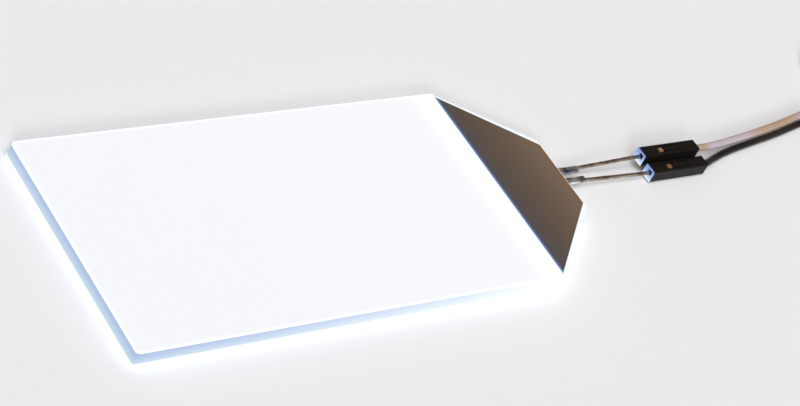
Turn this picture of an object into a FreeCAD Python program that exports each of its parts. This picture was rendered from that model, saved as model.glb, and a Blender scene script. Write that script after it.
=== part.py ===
import FreeCAD, Part
import math
import os
import Sketcher
from FreeCAD import Placement, Rotation, Vector

# An edge-lit LED backlight panel that lies on its back face, with the two leads of its
# LED pushed into the sockets of two jumper wires.
# Frame: the origin is on the back face, at the centre of the lit rectangle. +X points
# along the panel towards the leads, +Y across it and +Z out of the lit face.

doc = FreeCAD.newDocument("backlight_panel")
sheet = doc.addObject("Spreadsheet::Sheet", "Sizes")

SIZES = {
    # panel stack
    "panel_long": 86.0,
    "panel_wide": 45.0,
    "taper_long": 15.5,
    "taper_end_wide": 17.0,
    "taper_corner": 1.5,
    "plate_corner": 0.5,
    "diffuser_corner": 0.8,
    "reflector_thick": 0.15,
    "lip_high": 0.7,
    "dot_high": 0.05,
    "guide_thick": 2.8,
    "diffuser_thick": 0.2,
    "mirror_thick": 0.1,
    "mirror_gap": 0.15,
    "mirror_wide_inset": 0.75,
    "mirror_end_inset": 1.15,
    "mirror_end_gap": 0.2,
    "mirror_corner": 0.5,
    # printed light-extraction dots
    "dots_along": 17,
    "dots_across": 9,
    "dot_margin": 3.0,
    "dot_small": 0.7,
    "dot_large": 1.7,
    # light-emitting diode
    "led_long": 7.0,
    "led_wide": 5.0,
    "led_thick": 2.0,
    "led_high": 1.85,
    "led_aside": 0.25,
    "led_recess": 0.1,
    "led_edge": 0.4,
    "led_clearance": 0.1,
    "glue_long": 1.5,
    "lead_pitch": 2.54,
    "lead_side": 0.5,
    "shoulder_wide": 1.2,
    "shoulder_long": 5.6,
    "shoulder_splay": 0.24,
    "post_depth": 4.4,
    "cup_wide": 1.3,
    "cup_deep": 0.7,
    "cup_recess": 0.45,
    "cup_mouth": 1.0,
    "cup_floor": 0.6,
    "anvil_long": 1.4,
    "die_side": 0.35,
    "die_thick": 0.12,
    "bond_wire": 0.05,
    "bond_loop": 0.45,
    # where the leads meet the sockets
    "lead_bare": 21.2,
    "lead_grip": 6.0,
    "lead_straight": 1.6,
    "anode_aside": 1.5,
    "anode_high": 2.85,
    "anode_set_back": -0.75,
    "cathode_aside": -1.55,
    "cathode_high": 1.55,
    "cathode_set_back": 0.0,
    # jumper socket housing
    "housing_long": 14.0,
    "housing_wide": 2.54,
    "housing_edge": 0.2,
    "bore_wide": 1.9,
    "front_wall": 1.4,
    "pin_hole": 0.9,
    "funnel": 0.42,
    "window_start": 4.0,
    "window_long": 1.6,
    "window_wide": 1.5,
    "tongue_long": 4.2,
    "tongue_slit": 0.2,
    # crimp contact inside the housing
    "contact_start": 1.5,
    "contact_play": 0.05,
    "receptacle_long": 6.2,
    "contact_sheet": 0.2,
    "leaf_wide": 0.9,
    "leaf_start": 2.6,
    "leaf_end": 6.4,
    "lead_clearance": 0.03,
    "lance_long": 1.3,
    "lance_rise": 0.25,
    "crimp_start": 8.5,
    "crimp_long": 2.0,
    "crimp_wide": 1.2,
    "crimp_high": 0.45,
    "grip_start": 11.2,
    "grip_long": 1.6,
    # jumper wire
    "wire_wide": 1.4,
    "core_wide": 0.5,
    "floor_gap": 0.02,
    "coil_wide": 15.4,
    "coil_turns": 2,
    "turn_gap": 0.05,
}


def fill_sheet():
    for row, (name, value) in enumerate(SIZES.items(), start=1):
        cell = "B%d" % row
        sheet.set("A%d" % row, name)
        sheet.set(cell, str(value))
        sheet.setAlias(cell, name)
    doc.recompute()


fill_sheet()


def size(name):
    return float(sheet.get(name))


# Expressions that more than one piece is built on.
PANEL_END = "Sizes.panel_long / 2 + Sizes.taper_long"
GUIDE_FLOOR = "Sizes.reflector_thick + Sizes.dot_high"
GUIDE_TOP = GUIDE_FLOOR + " + Sizes.guide_thick"
LED_REAR = PANEL_END + " - Sizes.led_recess"
CONTACT_WIDE = "(Sizes.bore_wide - 2 * Sizes.contact_play)"


# ---------------------------------------------------------------- modelling helpers

def new_body(label):
    body = doc.addObject("PartDesign::Body", label)
    body.Label = label
    return body


def new_sketch(body, name, role, lift="0"):
    sketch = body.newObject("Sketcher::SketchObject", body.Name + "_" + name)
    plane = [item for item in body.Origin.OriginFeatures if item.Role == role][0]
    sketch.AttachmentSupport = [(plane, "")]
    sketch.MapMode = "FlatFace"
    if lift != "0":
        sketch.setExpression("AttachmentOffset.Base.z", lift)
    doc.recompute()
    return sketch


def value_of(owner, expression):
    return float(owner.evalExpression(expression))


def hold_point(sketch, line, corner, expressions):
    """Fix the start point of a line at the place that two expressions give."""
    for kind, axis, place, expression in zip(
            ("DistanceX", "DistanceY"), (-2, -1), corner, expressions):
        if abs(place) < 1e-9:
            sketch.addConstraint(Sketcher.Constraint("PointOnObject", line, 1, axis))
            continue
        index = sketch.addConstraint(
            Sketcher.Constraint(kind, -1, 1, line, 1, place))
        sketch.setExpression("Constraints[%d]" % index, expression)


def polygon(sketch, corners):
    """Draw a closed outline whose corners are pairs of expressions."""
    places = [(value_of(sketch, x), value_of(sketch, y)) for x, y in corners]
    lines = []
    for start, end in zip(places, places[1:] + places[:1]):
        edge = Part.LineSegment(Vector(*start, 0), Vector(*end, 0))
        lines.append(sketch.addGeometry(edge, False))
    for line, following in zip(lines, lines[1:] + lines[:1]):
        sketch.addConstraint(Sketcher.Constraint("Coincident", line, 2, following, 1))
    for line, place, corner in zip(lines, places, corners):
        hold_point(sketch, line, place, corner)


def rectangle(sketch, left, right, low, high):
    polygon(sketch, [(left, low), (right, low), (right, high), (left, high)])


def centred_square(sketch, side):
    half = "(%s) / 2" % side
    rectangle(sketch, "-" + half, half, "-" + half, half)


def circle(sketch, across):
    start = Part.Circle(Vector(0, 0, 0), Vector(0, 0, 1), value_of(sketch, across) / 2)
    ring = sketch.addGeometry(start, False)
    sketch.addConstraint(Sketcher.Constraint("Coincident", ring, 3, -1, 1))
    index = sketch.addConstraint(Sketcher.Constraint("Diameter", ring, start.Radius * 2))
    sketch.setExpression("Constraints[%d]" % index, across)


def pad(body, sketch, length, both_ways=False):
    feature = body.newObject("PartDesign::Pad", sketch.Name + "_pad")
    feature.Profile = sketch
    feature.setExpression("Length", length)
    feature.Midplane = both_ways
    doc.recompute()
    return feature


def pocket(body, sketch, depth):
    """Cut along the sketch's own normal, and make sure that something was cut."""
    before = body.Shape.Volume
    feature = body.newObject("PartDesign::Pocket", sketch.Name + "_pocket")
    feature.Profile = sketch
    feature.setExpression("Length", depth)
    feature.Reversed = True
    doc.recompute()
    if not feature.Shape.Volume < before - 1e-6:
        raise RuntimeError(feature.Name + " cuts nothing")
    return feature


def edge_names(shape, wanted):
    names = []
    for index, edge in enumerate(shape.Edges, start=1):
        if wanted([vertex.Point for vertex in edge.Vertexes]):
            names.append("Edge%d" % index)
    return names


def dress(body, kind, base, wanted, field, amount):
    """Add a Fillet or a Chamfer to the edges of the last feature that are wanted."""
    feature = body.newObject("PartDesign::" + kind, base.Name + "_" + kind.lower())
    feature.Base = (base, edge_names(base.Shape, wanted))
    feature.setExpression(field, amount)
    doc.recompute()
    return feature


def same_place(first, second, axes):
    return all(abs(first[axis] - second[axis]) < 1e-6 for axis in axes)


def new_feature(label, shape):
    feature = doc.addObject("Part::Feature", label)
    feature.Label = label
    feature.Shape = shape
    return feature


def block(low, high):
    span = Vector(*high) - Vector(*low)
    return Part.makeBox(span.x, span.y, span.z, Vector(*low))


def joined(shapes):
    return shapes[0].fuse(shapes[1:]).removeSplitter()


# ---------------------------------------------------------------- panel stack

def taper_outline(sketch, wide_start, wide_half, end, end_half):
    """The four-sided tongue that narrows from the lit rectangle to the LED."""
    polygon(sketch, [
        (wide_start, "-(%s)" % wide_half),
        (end, "-(%s)" % end_half),
        (end, end_half),
        (wide_start, wide_half),
    ])


def at_narrow_end(end_x):
    def wanted(points):
        upright = same_place(points[0], points[-1], (0, 1))
        return upright and len(points) == 2 and abs(points[0].x - end_x) < 1e-6
    return wanted


def at_far_end(end_x):
    """Upright edges at the end that is furthest from the LED."""
    def wanted(points):
        upright = same_place(points[0], points[-1], (0, 1))
        return upright and abs(points[0].x - end_x) < 1e-6
    return wanted


def make_back_reflector():
    # White film under the whole panel, folded up round three sides of the rectangle.
    body = new_body("back_reflector")
    outline = new_sketch(body, "outline", "XY_Plane")
    film = "Sizes.reflector_thick"
    side = "(Sizes.panel_wide / 2 + %s)" % film
    rectangle(outline, "-Sizes.panel_long / 2 - " + film, "Sizes.panel_long / 2",
              "-" + side, side)
    pad(body, outline, "Sizes.lip_high")
    tray = new_sketch(body, "tray", "XY_Plane", film)
    half = "Sizes.panel_wide / 2"
    rectangle(tray, "-Sizes.panel_long / 2", "Sizes.panel_long / 2", "-" + half, half)
    hollow = pocket(body, tray, "Sizes.lip_high")
    corner = at_far_end(value_of(body, "-Sizes.panel_long / 2"))
    eased = dress(body, "Fillet", hollow, corner, "Radius", "Sizes.plate_corner")
    corner = at_far_end(value_of(body, "-Sizes.panel_long / 2 - " + film))
    dress(body, "Fillet", eased, corner, "Radius", "Sizes.plate_corner + " + film)
    tongue = new_sketch(body, "tongue", "XY_Plane")
    taper_outline(tongue, "Sizes.panel_long / 2", half, PANEL_END, "Sizes.taper_end_wide / 2")
    floor = pad(body, tongue, film)
    corner = at_narrow_end(value_of(body, PANEL_END))
    dress(body, "Fillet", floor, corner, "Radius", "Sizes.taper_corner")


def make_light_guide():
    # Clear acrylic plate with a pocket for the LED in its narrow end.
    body = new_body("light_guide")
    plate = new_sketch(body, "plate", "XY_Plane", GUIDE_FLOOR)
    left = "-Sizes.panel_long / 2"
    half = "Sizes.panel_wide / 2"
    end_half = "Sizes.taper_end_wide / 2"
    polygon(plate, [
        (left, "-" + half),
        ("Sizes.panel_long / 2", "-" + half),
        (PANEL_END, "-" + end_half),
        (PANEL_END, end_half),
        ("Sizes.panel_long / 2", half),
        (left, half),
    ])
    slab = pad(body, plate, "Sizes.guide_thick")
    corner = at_narrow_end(value_of(body, PANEL_END))
    eased = dress(body, "Fillet", slab, corner, "Radius", "Sizes.taper_corner")
    corner = at_far_end(value_of(body, left))
    dress(body, "Fillet", eased, corner, "Radius", "Sizes.plate_corner")
    led_seat = new_sketch(body, "led_seat", "XY_Plane",
                          "Sizes.led_high - Sizes.led_thick / 2 - Sizes.led_clearance")
    half_seat = "(Sizes.led_wide / 2 + Sizes.led_clearance)"
    rectangle(led_seat, LED_REAR + " - Sizes.led_long - Sizes.led_clearance", PANEL_END,
              "Sizes.led_aside - " + half_seat, "Sizes.led_aside + " + half_seat)
    pocket(body, led_seat, "Sizes.led_thick + 2 * Sizes.led_clearance")


def make_diffuser_film():
    # Milky film over the lit rectangle.
    body = new_body("diffuser_film")
    sketch = new_sketch(body, "outline", "XY_Plane", GUIDE_TOP)
    rectangle(sketch, "-Sizes.panel_long / 2", "Sizes.panel_long / 2",
              "-Sizes.panel_wide / 2", "Sizes.panel_wide / 2")
    film = pad(body, sketch, "Sizes.diffuser_thick")
    corner = at_far_end(value_of(body, "-Sizes.panel_long / 2"))
    dress(body, "Fillet", film, corner, "Radius", "Sizes.diffuser_corner")


def make_taper_mirror():
    # Metallised film that covers the tapered tongue and leaves a bare rim beside it.
    body = new_body("taper_mirror")
    sketch = new_sketch(body, "outline", "XY_Plane", GUIDE_TOP)
    taper_outline(sketch, "Sizes.panel_long / 2 + Sizes.mirror_gap",
                  "Sizes.panel_wide / 2 - Sizes.mirror_wide_inset",
                  PANEL_END + " - Sizes.mirror_end_gap",
                  "Sizes.taper_end_wide / 2 - Sizes.mirror_end_inset")
    film = pad(body, sketch, "Sizes.mirror_thick")
    corner = at_narrow_end(value_of(body, PANEL_END + " - Sizes.mirror_end_gap"))
    dress(body, "Fillet", film, corner, "Radius", "Sizes.mirror_corner")


def make_extraction_dots():
    # White dots printed on the guide's back, larger the further they are from the LED.
    along = int(size("dots_along"))
    across = int(size("dots_across"))
    reach = size("panel_long") - 2 * size("dot_margin")
    spread = size("panel_wide") - 2 * size("dot_margin")
    dots = []
    for column in range(along):
        share = column / (along - 1)
        radius = (size("dot_large") * (1 - share) + size("dot_small") * share) / 2
        for row in range(across):
            place = Vector(-reach / 2 + share * reach,
                           -spread / 2 + row * spread / (across - 1),
                           size("reflector_thick"))
            dots.append(Part.makeCylinder(radius, size("dot_high"), place))
    new_feature("extraction_dots", Part.makeCompound(dots))


# ---------------------------------------------------------------- LED

def led_rear():
    return size("panel_long") / 2 + size("taper_long") - size("led_recess")


def lead_square(place):
    half = size("lead_side") / 2
    corners = [(-half, -half), (half, -half), (half, half), (-half, half), (-half, -half)]
    return Part.makePolygon([place + Vector(0, y, z) for y, z in corners])


def lead_run(side, aside, high, set_back):
    """The square lead from its post in the LED to its tip, with the wide shoulder."""
    half = size("lead_side") / 2
    root = Vector(led_rear() - size("post_depth"),
                  size("led_aside") + side * size("lead_pitch") / 2, size("led_high"))
    shoulder_end = Vector(led_rear() + size("shoulder_long"),
                          root.y + side * size("shoulder_splay"), root.z)
    socket_front = led_rear() + size("led_recess") + size("lead_bare") + set_back
    straight = Vector(socket_front - size("lead_straight"), aside, high)
    tip = Vector(socket_front + size("lead_grip"), aside, high)
    rear = Vector(led_rear(), root.y, root.z)
    stops = [root, rear, shoulder_end, straight, tip]
    runs = []
    for start, end in zip(stops, stops[1:]):
        runs.append(Part.makeLoft([lead_square(start), lead_square(end)], True, True))
    reach = size("shoulder_wide") / 2
    shoulder = block((rear.x, rear.y - reach, rear.z - half),
                     (rear.x + size("shoulder_long"), rear.y + reach, rear.z + half))
    return runs + [shoulder], root


def cup_front():
    return led_rear() - size("post_depth")


def facing_panel(shape, place):
    """Turn a shape that was made along +Z so that it looks along -X from a place."""
    shape.Placement = Placement(place, Rotation(Vector(0, 1, 0), -90))
    return shape


def cup_recess():
    deep = size("cup_recess")
    floor = Vector(cup_front() + deep, size("led_aside"), size("led_high"))
    cone = Part.makeCone(size("cup_floor") / 2, size("cup_mouth") / 2, deep)
    return facing_panel(cone, floor)


def die_block():
    half = size("die_side") / 2
    floor = cup_front() + size("cup_recess")
    middle = (size("led_aside"), size("led_high"))
    return block((floor - size("die_thick"), middle[0] - half, middle[1] - half),
                 (floor, middle[0] + half, middle[1] + half))


def make_cathode_lead():
    # The lead that carries the reflector cup, in the middle of the LED.
    runs, root = lead_run(-1, size("cathode_aside"), size("cathode_high"),
                          size("cathode_set_back"))
    back = Vector(cup_front() + size("cup_deep"), size("led_aside"), size("led_high"))
    cup = facing_panel(Part.makeCylinder(size("cup_wide") / 2, size("cup_deep")), back)
    half = size("lead_side") / 2
    anvil = block((back.x, root.y - half, back.z - half),
                  (back.x + size("anvil_long"), back.y + half, back.z + half))
    whole = joined(runs + [cup, anvil])
    new_feature("cathode_lead", whole.cut(cup_recess()))


def make_anode_lead():
    runs, root = lead_run(1, size("anode_aside"), size("anode_high"),
                          size("anode_set_back"))
    new_feature("anode_lead", joined(runs))


def make_led_insides():
    new_feature("led_die", die_block())
    new_feature("led_phosphor", cup_recess().cut(die_block()).cut(bond_wire()))
    new_feature("led_bond_wire", bond_wire())


def bond_wire():
    """A thin loop from the front of the die to the front of the anode's post."""
    start = Vector(cup_front() + size("cup_recess") - size("die_thick"),
                   size("led_aside"), size("led_high"))
    end = Vector(cup_front(), start.y + size("lead_pitch") / 2, start.z)
    loop = cup_front() - size("bond_loop")
    points = [start, Vector(loop, start.y, start.z), Vector(loop, end.y, end.z), end]
    return round_tube(points, size("bond_wire"), 0.3)


def make_led_body():
    # Clear epoxy block, moulded round the posts, the cup and the wire.
    body = new_body("led_block")
    sketch = new_sketch(body, "outline", "XY_Plane", "Sizes.led_high - Sizes.led_thick / 2")
    rectangle(sketch, LED_REAR + " - Sizes.led_long", LED_REAR,
              "Sizes.led_aside - Sizes.led_wide / 2", "Sizes.led_aside + Sizes.led_wide / 2")
    solid = pad(body, sketch, "Sizes.led_thick")
    front = value_of(body, LED_REAR + " - Sizes.led_long")
    dress(body, "Fillet", solid, at_narrow_end(front), "Radius", "Sizes.led_edge")
    insides = doc.addObject("Part::MultiFuse", "led_insides")
    insides.Shapes = [doc.getObject(name) for name in (
        "cathode_lead", "anode_lead", "led_die", "led_phosphor", "led_bond_wire")]
    moulded = doc.addObject("Part::Cut", "led_body")
    moulded.Label = "led_body"
    moulded.Base = body
    moulded.Tool = insides
    doc.recompute()


def make_led_adhesive():
    # Clear glue between the LED and the mouth of its pocket.
    boxes = []
    for name, grow in (("outer", "Sizes.led_clearance"), ("inner", "0")):
        box = doc.addObject("Part::Box", "glue_" + name)
        box.setExpression("Length", "Sizes.glue_long")
        box.setExpression("Width", "Sizes.led_wide + 2 * %s" % grow)
        box.setExpression("Height", "Sizes.led_thick + 2 * %s" % grow)
        box.setExpression("Placement.Base.x", LED_REAR + " - Sizes.glue_long")
        box.setExpression("Placement.Base.y", "Sizes.led_aside - Sizes.led_wide / 2 - %s" % grow)
        box.setExpression("Placement.Base.z", "Sizes.led_high - Sizes.led_thick / 2 - %s" % grow)
        boxes.append(box)
    glue = doc.addObject("Part::Cut", "led_adhesive")
    glue.Label = "led_adhesive"
    glue.Base = boxes[0]
    glue.Tool = boxes[1]
    doc.recompute()


# ---------------------------------------------------------------- cords

def rounded_path(points, share):
    """Straight runs joined by tangent arcs, each as large as its two runs allow."""
    edges = []
    radii = []
    here = points[0]
    for before, corner, after in zip(points, points[1:], points[2:]):
        back = (before - corner).normalize()
        ahead = (after - corner).normalize()
        turn = math.pi - back.getAngle(ahead)
        trim = share * min(before.distanceToPoint(corner), corner.distanceToPoint(after))
        radius = trim / math.tan(turn / 2)
        inner = (back + ahead).normalize()
        centre = corner + inner * math.hypot(radius, trim)
        start = corner + back * trim
        end = corner + ahead * trim
        middle = centre - inner * radius
        edges.append(Part.LineSegment(here, start).toShape())
        edges.append(Part.Arc(start, middle, end).toShape())
        radii.append(radius)
        here = end
    edges.append(Part.LineSegment(here, points[-1]).toShape())
    return Part.Wire(edges), radii


def round_tube(points, across, share):
    path, radii = rounded_path(points, share)
    heading = points[1] - points[0]
    section = Part.Wire(Part.makeCircle(across / 2, points[0], heading))
    tube = path.makePipeShell([section], True, False)
    expected = math.pi * across ** 2 / 4 * path.Length
    if abs(tube.Volume - expected) > 0.01 * expected:
        raise RuntimeError("a tube's volume is not its section times its length")
    print("tube %.2f across, %.1f long, bend radii" % (across, path.Length),
          [round(radius, 1) for radius in radii])
    return tube


# ---------------------------------------------------------------- jumpers

def housing_front(set_back):
    return PANEL_END + " + Sizes.lead_bare + Sizes." + set_back


def wire_exit(jumper):
    """The rear face of the front housing, on its axis."""
    front = size("panel_long") / 2 + size("taper_long") + size("lead_bare")
    return Vector(front + size(jumper["set_back"]) + size("housing_long"),
                  size(jumper["aside"]), size(jumper["high"]))


def put_front(body, jumper):
    body.setExpression("Placement.Base.x", housing_front(jumper["set_back"]))
    body.setExpression("Placement.Base.y", "Sizes." + jumper["aside"])
    body.setExpression("Placement.Base.z", "Sizes." + jumper["high"])


def put_end(body, jumper):
    """Turn a piece round and put its mating face, which faces +X, past the wire's end."""
    rear_face = route_point(jumper, jumper["tail"][-1]) + Vector(EXIT_STRAIGHT, 0, 0)
    mating_face = rear_face + Vector(size("housing_long"), 0, 0)
    body.Placement = Placement(mating_face, Rotation(Vector(0, 0, 1), 180))


def make_housing(label):
    """A moulded housing along +X with its mating face at 0."""
    body = new_body(label)
    outside = new_sketch(body, "outside", "YZ_Plane")
    centred_square(outside, "Sizes.housing_wide")
    prism = pad(body, outside, "Sizes.housing_long")

    def along_x(points):
        return same_place(points[0], points[-1], (1, 2))

    dress(body, "Fillet", prism, along_x, "Radius", "Sizes.housing_edge")
    bore = new_sketch(body, "bore", "YZ_Plane", "Sizes.front_wall")
    centred_square(bore, "Sizes.bore_wide")
    pocket(body, bore, "Sizes.housing_long")
    pin_hole = new_sketch(body, "pin_hole", "YZ_Plane")
    centred_square(pin_hole, "Sizes.pin_hole")
    opened = pocket(body, pin_hole, "Sizes.front_wall")
    half_hole = size("pin_hole") / 2

    def hole_rim(points):
        flat = all(abs(point.x) < 1e-6 for point in points)
        return flat and all(abs(abs(point.y) - half_hole) < 1e-6 for point in points)

    dress(body, "Chamfer", opened, hole_rim, "Size", "Sizes.funnel")
    window = new_sketch(body, "window", "XY_Plane")
    half = "Sizes.window_wide / 2"
    start = "Sizes.window_start"
    rectangle(window, start, start + " + Sizes.window_long", "-" + half, half)
    pocket(body, window, "Sizes.housing_wide")
    slits = new_sketch(body, "slits", "XY_Plane")
    tongue = start + " + Sizes.window_long"
    for sign in ("", "-"):
        inner = "%s(%s - Sizes.tongue_slit)" % (sign, half)
        outer = "%s(%s)" % (sign, half)
        rectangle(slits, tongue, tongue + " + Sizes.tongue_long", inner, outer)
    pocket(body, slits, "Sizes.housing_wide")
    return body


def make_contact(label):
    """A crimp contact: spring receptacle, wire crimp and insulation grip."""
    body = new_body(label)
    receptacle = new_sketch(body, "receptacle", "YZ_Plane", "Sizes.contact_start")
    centred_square(receptacle, CONTACT_WIDE)
    pad(body, receptacle, "Sizes.receptacle_long")
    hollow = new_sketch(body, "hollow", "YZ_Plane", "Sizes.contact_start")
    centred_square(hollow, CONTACT_WIDE + " - 2 * Sizes.contact_sheet")
    pocket(body, hollow, "Sizes.receptacle_long")
    floor = new_sketch(body, "floor", "YZ_Plane",
                       "Sizes.contact_start + Sizes.receptacle_long - Sizes.contact_sheet")
    low = "-%s / 2" % CONTACT_WIDE
    half = "Sizes.crimp_wide / 2"
    rectangle(floor, "-" + half, half, low, low + " + Sizes.contact_sheet")
    pad(body, floor, "Sizes.grip_start + Sizes.contact_sheet"
        " - Sizes.contact_start - Sizes.receptacle_long")
    crimp = new_sketch(body, "crimp", "YZ_Plane", "Sizes.crimp_start")
    rectangle(crimp, "-" + half, half, low, "Sizes.crimp_high")
    circle(crimp, "Sizes.core_wide")
    pad(body, crimp, "Sizes.crimp_long")
    grip = new_sketch(body, "grip", "YZ_Plane", "Sizes.grip_start")
    circle(grip, CONTACT_WIDE)
    circle(grip, "Sizes.wire_wide")
    pad(body, grip, "Sizes.grip_long")
    leaves = new_sketch(body, "leaves", "XZ_Plane")
    sheet_thick = "Sizes.contact_sheet"
    for sign in ("", "-"):
        near = "%s(Sizes.lead_side / 2 + Sizes.lead_clearance)" % sign
        far = "%s(Sizes.lead_side / 2 + Sizes.lead_clearance + %s)" % (sign, sheet_thick)
        wall = "%s(%s / 2 - %s / 2)" % (sign, CONTACT_WIDE, sheet_thick)
        polygon(leaves, [
            ("Sizes.leaf_start", near),
            ("Sizes.leaf_end", near),
            ("Sizes.leaf_end", wall),
            ("Sizes.leaf_end - " + sheet_thick, wall),
            ("Sizes.leaf_end - " + sheet_thick, far),
            ("Sizes.leaf_start", far),
        ])
    pad(body, leaves, "Sizes.leaf_wide", True)
    lance = new_sketch(body, "lance", "XZ_Plane")
    top = CONTACT_WIDE + " / 2"
    polygon(lance, [
        ("Sizes.window_start + Sizes.lance_long", top + " - %s / 2" % sheet_thick),
        ("Sizes.window_start + Sizes.lance_long", top + " + Sizes.lance_rise"),
        ("Sizes.window_start", top),
        ("Sizes.window_start", top + " - %s / 2" % sheet_thick),
    ])
    pad(body, lance, "Sizes.leaf_wide", True)
    return body


def make_core(label):
    """The stripped end of the conductor in the crimp."""
    body = new_body(label)
    sketch = new_sketch(body, "section", "YZ_Plane", "Sizes.crimp_start")
    circle(sketch, "Sizes.core_wide")
    pad(body, sketch, "Sizes.grip_start - Sizes.crimp_start")
    return body


# Each route leaves its housing straight along +X, and both wires come down together,
# the anode's on top of the cathode's, before each is wound up on its own side.
# A point is millimetres past the housing's rear face, millimetres across, and height
# in layers of wire, where 0 lies on the floor. ON_AXIS is the height of a housing's
# axis when the housing lies on the floor.
ON_AXIS = "on axis"

JUMPERS = {
    "grey": {
        "aside": "anode_aside",
        "high": "anode_high",
        "set_back": "anode_set_back",
        "route": [
            (5.0, 1.8, 1.3),
            (10.0, 2.5, 1.09),
            (18.2, 3.65, 1.05),
            (27.2, 5.1, 1.05),
            (36.5, 7.35, 1.04),
            (43.5, 8.35, 0.7),
            (49.5, 8.75, 0.14),
            (55.5, 8.6, 0.0),
        ],
        "coil_side": 1,
        "tail": [
            (62.0, 8.7, 1.9),
            (68.5, 9.6, 1.05),
            (74.5, 10.4, ON_AXIS),
        ],
    },
    "black": {
        "aside": "cathode_aside",
        "high": "cathode_high",
        "set_back": "cathode_set_back",
        "route": [
            (4.4, -0.1, 0.12),
            (9.6, 1.45, 0.02),
            (17.6, 2.75, 0.0),
            (27.0, 4.1, 0.0),
            (36.5, 6.0, 0.0),
            (42.8, 5.7, 0.0),
            (48.4, 4.5, 0.0),
            (54.0, 4.0, 0.0),
        ],
        "coil_side": -1,
        "tail": [
            (60.5, 3.95, 1.9),
            (67.0, 3.0, 1.05),
            (73.0, 2.2, ON_AXIS),
        ],
    },
}

# A wire runs straight for this far outside the rear face of each of its housings.
EXIT_STRAIGHT = 1.0


def layer_high(layers):
    if layers == ON_AXIS:
        return size("floor_gap") + size("housing_wide") / 2
    layer = size("wire_wide") + size("turn_gap")
    return size("floor_gap") + size("wire_wide") / 2 + layers * layer


def route_point(jumper, place):
    past, across, layers = place
    return Vector(wire_exit(jumper).x + past, across, layer_high(layers))


def inside_housing():
    """From a housing's rear face to where its wire's insulation ends."""
    return Vector(size("housing_long") - size("grip_start"), 0, 0)


def make_wire(colour, jumper):
    # The insulated wire from the front crimp to where it is wound up.
    leaving = wire_exit(jumper)
    crimped = leaving - inside_housing()
    free = leaving + Vector(EXIT_STRAIGHT, 0, 0)
    route = [route_point(jumper, place) for place in jumper["route"]]
    tube = round_tube([crimped, free] + route, size("wire_wide"), 0.45)
    new_feature(colour + "_wire", tube)


def make_coil(colour, jumper):
    # The outer shape of the wound length: a ring that lies on the floor.
    start = route_point(jumper, jumper["route"][-1])
    cylinders = []
    for name, grow in (("outer", "+"), ("inner", "-")):
        cylinder = doc.addObject("Part::Cylinder", colour + "_coil_" + name)
        cylinder.setExpression("Radius", "Sizes.coil_wide / 2 %s Sizes.wire_wide / 2" % grow)
        cylinder.setExpression(
            "Height", "Sizes.coil_turns * (Sizes.wire_wide + Sizes.turn_gap)"
            " + Sizes.wire_wide / 2")
        cylinder.setExpression("Placement.Base.z", "Sizes.floor_gap")
        cylinder.Placement.Base = Vector(
            start.x, start.y + jumper["coil_side"] * size("coil_wide") / 2, 0)
        cylinders.append(cylinder)
    ring = doc.addObject("Part::Cut", colour + "_wire_coil")
    ring.Label = colour + "_wire_coil"
    ring.Base = cylinders[0]
    ring.Tool = cylinders[1]
    doc.recompute()


def make_tail(colour, jumper):
    # From the top of the coil, down beside it and into the end housing.
    past, across, layers = jumper["route"][-1]
    start = route_point(jumper, (past, across, size("coil_turns")))
    stops = [route_point(jumper, place) for place in jumper["tail"]]
    crimped = stops[-1] + Vector(EXIT_STRAIGHT, 0, 0) + inside_housing()
    tube = round_tube([start] + stops + [crimped], size("wire_wide"), 0.45)
    new_feature(colour + "_wire_tail", tube)


def make_jumper(colour, jumper):
    for place, put in (("front", put_front), ("end", put_end)):
        for piece, make in (("housing", make_housing), ("contact", make_contact),
                            ("core", make_core)):
            put(make("%s_%s_%s" % (colour, place, piece)), jumper)
    make_wire(colour, jumper)
    make_coil(colour, jumper)
    make_tail(colour, jumper)


# ---------------------------------------------------------------- hand over

PANEL_NODES = [
    "back_reflector", "extraction_dots", "light_guide", "diffuser_film", "taper_mirror",
    "led_body", "led_die", "led_phosphor", "led_bond_wire", "led_adhesive",
    "cathode_lead", "anode_lead",
]
JUMPER_NODES = [
    "front_housing", "front_contact", "front_core", "wire", "wire_coil", "wire_tail",
    "end_core", "end_contact", "end_housing",
]


def node_names():
    return PANEL_NODES + [
        "%s_%s" % (colour, piece) for colour in JUMPERS for piece in JUMPER_NODES]


def check_document():
    for item in doc.Objects:
        if "Invalid" in item.State or "Error" in item.State:
            raise RuntimeError("%s failed: %s" % (item.Name, item.State))
    for name in node_names():
        shape = doc.getObject(name).Shape
        if shape.isNull() or not shape.isValid() or not shape.Solids:
            raise RuntimeError(name + " has no valid solid")


def write_nodes():
    os.makedirs("parts", exist_ok=True)
    for name in node_names():
        shape = doc.getObject(name).Shape
        shape.exportStep("parts/%s.step" % name)
        print("%-22s %d solid(s) %10.3f mm3" % (name, len(shape.Solids), shape.Volume))


def main():
    make_back_reflector()
    make_extraction_dots()
    make_light_guide()
    make_diffuser_film()
    make_taper_mirror()
    make_cathode_lead()
    make_anode_lead()
    make_led_insides()
    make_led_body()
    make_led_adhesive()
    for colour, jumper in JUMPERS.items():
        make_jumper(colour, jumper)
    doc.recompute()
    check_document()
    write_nodes()


main()
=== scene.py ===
# %% [markdown]
# # A lit backlight panel with two jumper wires
# The part comes in from CAD as a fixed frame: every piece is already in its place and at
# its size, in metres. This notebook only gives it its looks: a camera, soft light, the
# two wires as smooth curves, and a material for every surface.

# %% Load the frame
import math

import bpy
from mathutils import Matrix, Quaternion, Vector


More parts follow.
